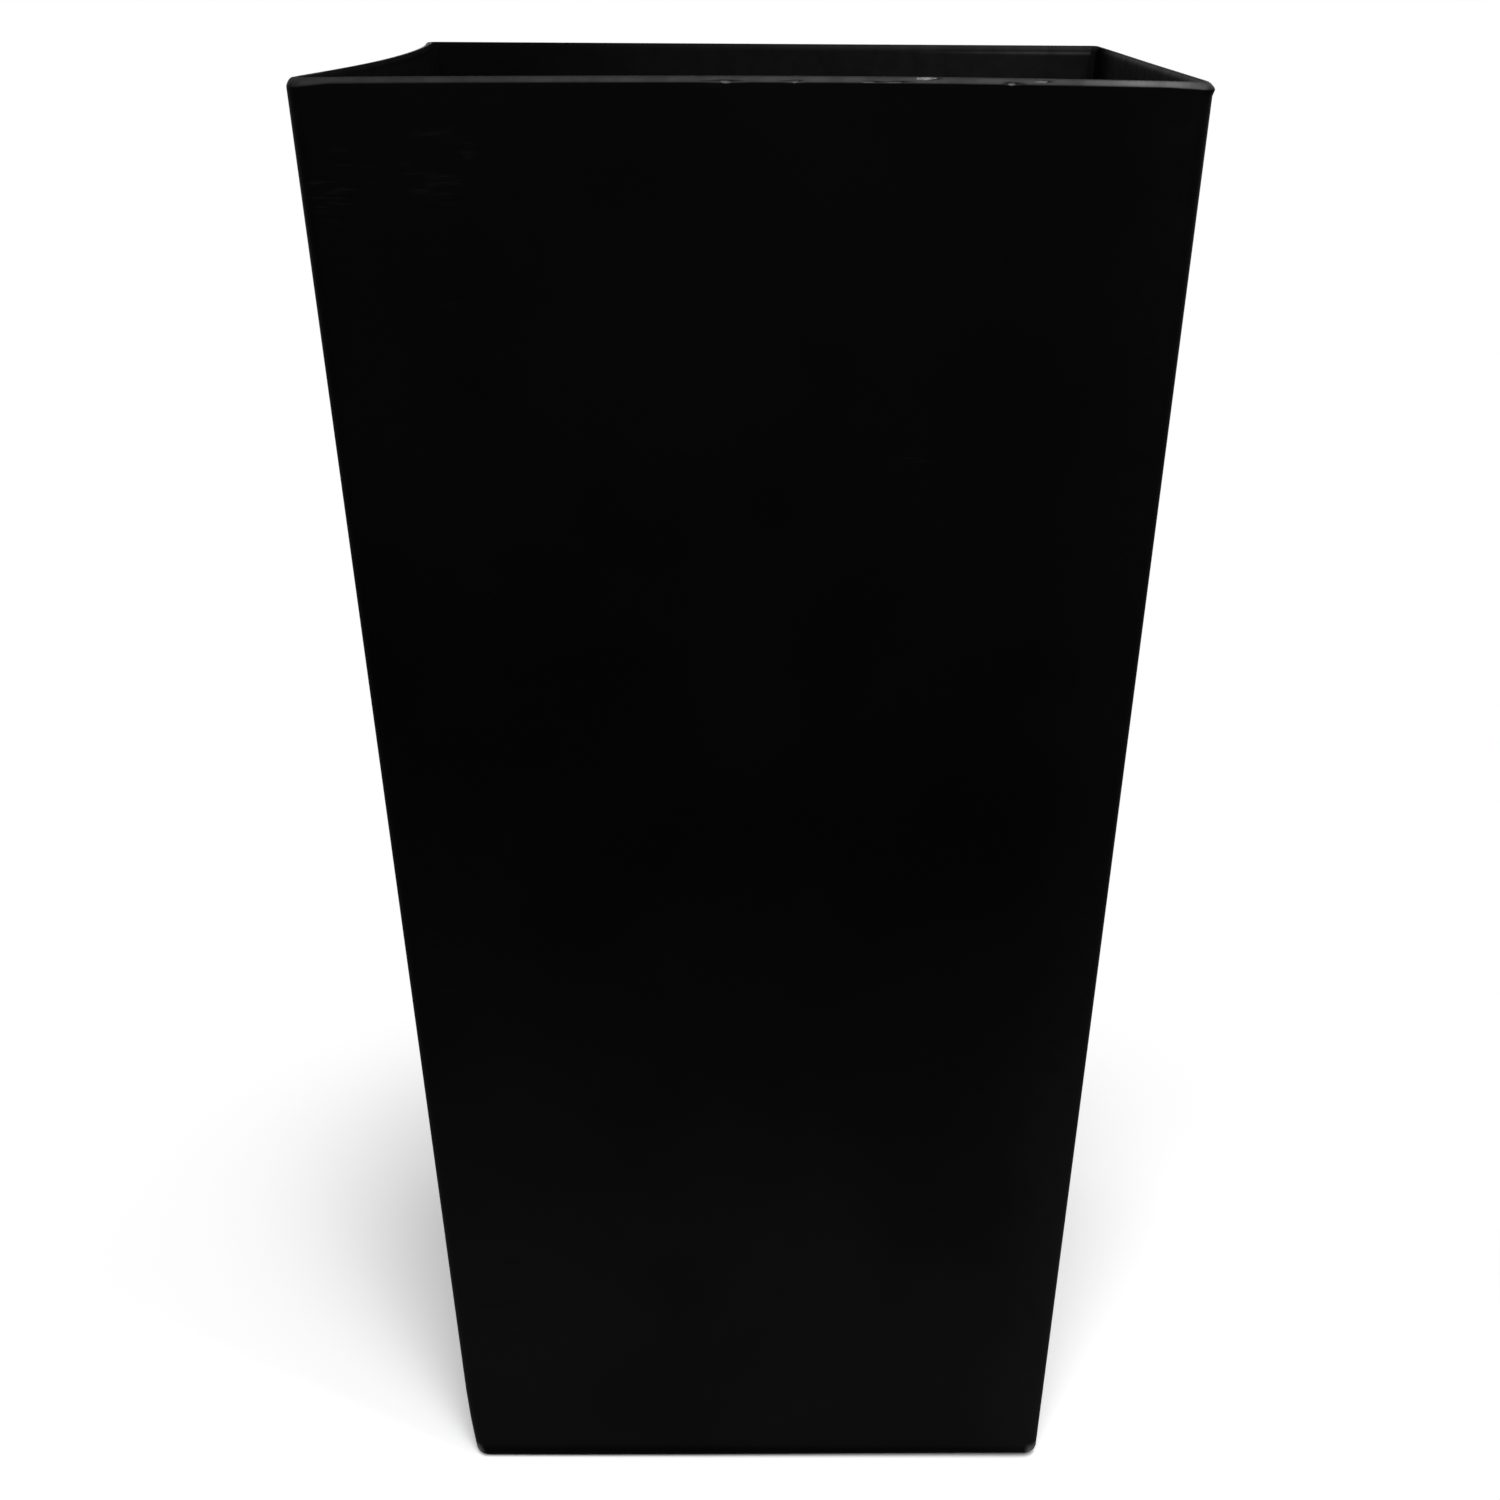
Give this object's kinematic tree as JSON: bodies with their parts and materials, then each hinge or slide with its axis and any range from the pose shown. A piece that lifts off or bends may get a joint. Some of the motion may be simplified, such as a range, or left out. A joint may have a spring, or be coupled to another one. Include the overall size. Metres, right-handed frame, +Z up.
{
  "type": "tall square planter",
  "caption": "Tall tapered square floor planter with a thin rounded rim, a perforated shelf that lifts out, pull-out drain plugs and rubber foot pads.",
  "frame": {"origin": "on the ground under the middle of the planter", "axes": "+Z up from the ground to the rim, -Y towards the front face that the picture shows, +X to the right seen from the front"},
  "size_m": [0.2748, 0.2748, 0.508],
  "materials": {
    "shell_plastic": "black moulded plastic with a fine satin grain",
    "shelf_plastic": "matt black moulded plastic",
    "plug_rubber": "dark grey soft rubber",
    "pad_rubber": "black rubber"
  },
  "bodies": {
    "shell": {"planter_shell": "shell_plastic", "foot_pad_front_left": "pad_rubber", "foot_pad_front_right": "pad_rubber", "foot_pad_back_left": "pad_rubber", "foot_pad_back_right": "pad_rubber"},
    "shelf": {"soil_shelf": "shelf_plastic"},
    "plug_front_left": {"drain_plug_front_left": "plug_rubber"},
    "plug_front_right": {"drain_plug_front_right": "plug_rubber"},
    "plug_back_left": {"drain_plug_back_left": "plug_rubber"},
    "plug_back_right": {"drain_plug_back_right": "plug_rubber"}
  },
  "joints": [
    {"name": "shelf_lift", "type": "slide", "parent": "shell", "child": "shelf", "axis": [0, 0, 1], "range_m": [0, 0.32]},
    {"name": "plug_pull_front_left", "type": "slide", "parent": "shell", "child": "plug_front_left", "axis": [0, 0, 1], "range_m": [0, 0.05]},
    {"name": "plug_pull_front_right", "type": "slide", "parent": "shell", "child": "plug_front_right", "axis": [0, 0, 1], "range_m": [0, 0.05]},
    {"name": "plug_pull_back_left", "type": "slide", "parent": "shell", "child": "plug_back_left", "axis": [0, 0, 1], "range_m": [0, 0.05]},
    {"name": "plug_pull_back_right", "type": "slide", "parent": "shell", "child": "plug_back_right", "axis": [0, 0, 1], "range_m": [0, 0.05]}
  ]
}
